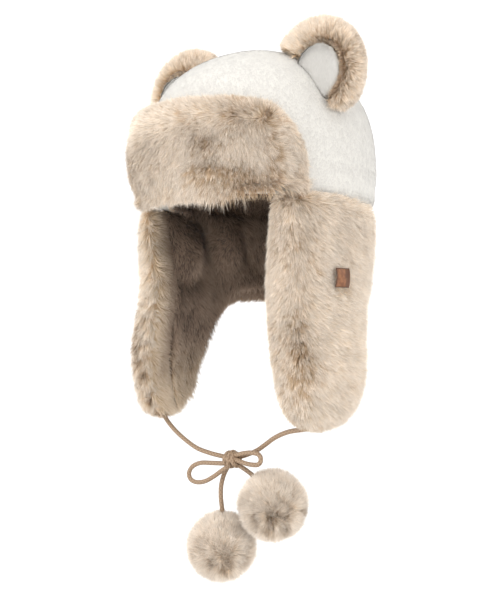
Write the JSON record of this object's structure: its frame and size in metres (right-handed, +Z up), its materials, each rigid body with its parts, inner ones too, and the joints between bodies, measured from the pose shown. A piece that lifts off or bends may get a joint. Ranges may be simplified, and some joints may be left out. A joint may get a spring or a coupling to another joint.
{
  "type": "faux fur trapper hat with bear ears",
  "caption": "Padded faux fur trapper hat: domed crown with round ears, upturned visor, long ear flaps, and a tied cord with pompoms.",
  "frame": {"origin": "centre of the head opening, at the height of the seam between the crown and the flaps", "axes": "+Z up through the crown, -Y the way the wearer faces, +X the wearer's left"},
  "size_m": [0.2728, 0.2734, 0.5357],
  "materials": {
    "white_plush": "short dense acrylic plush, off-white",
    "beige_fur": "deep acrylic faux fur pile, warm beige with lighter tips",
    "taupe_plush": "short polyester lining plush, dark taupe",
    "brown_leather": "smooth brown leather, folded edge",
    "tan_cord": "braided round cord, tan"
  },
  "bodies": {
    "root": {"crown_shell": "white_plush", "hat_lining": "taupe_plush", "front_brim": "beige_fur", "flap_skirt": "beige_fur", "leather_tab": "brown_leather", "ear_left": "beige_fur", "ear_right": "beige_fur", "ear_inner_left": "white_plush", "ear_inner_right": "white_plush", "chin_cord_left": "tan_cord", "chin_cord_right": "tan_cord", "bow_loop_left": "tan_cord", "bow_loop_right": "tan_cord", "tail_cord_left": "tan_cord", "tail_cord_right": "tan_cord", "bow_knot": "tan_cord", "pompom_left": "beige_fur", "pompom_right": "beige_fur"}
  },
  "joints": []
}
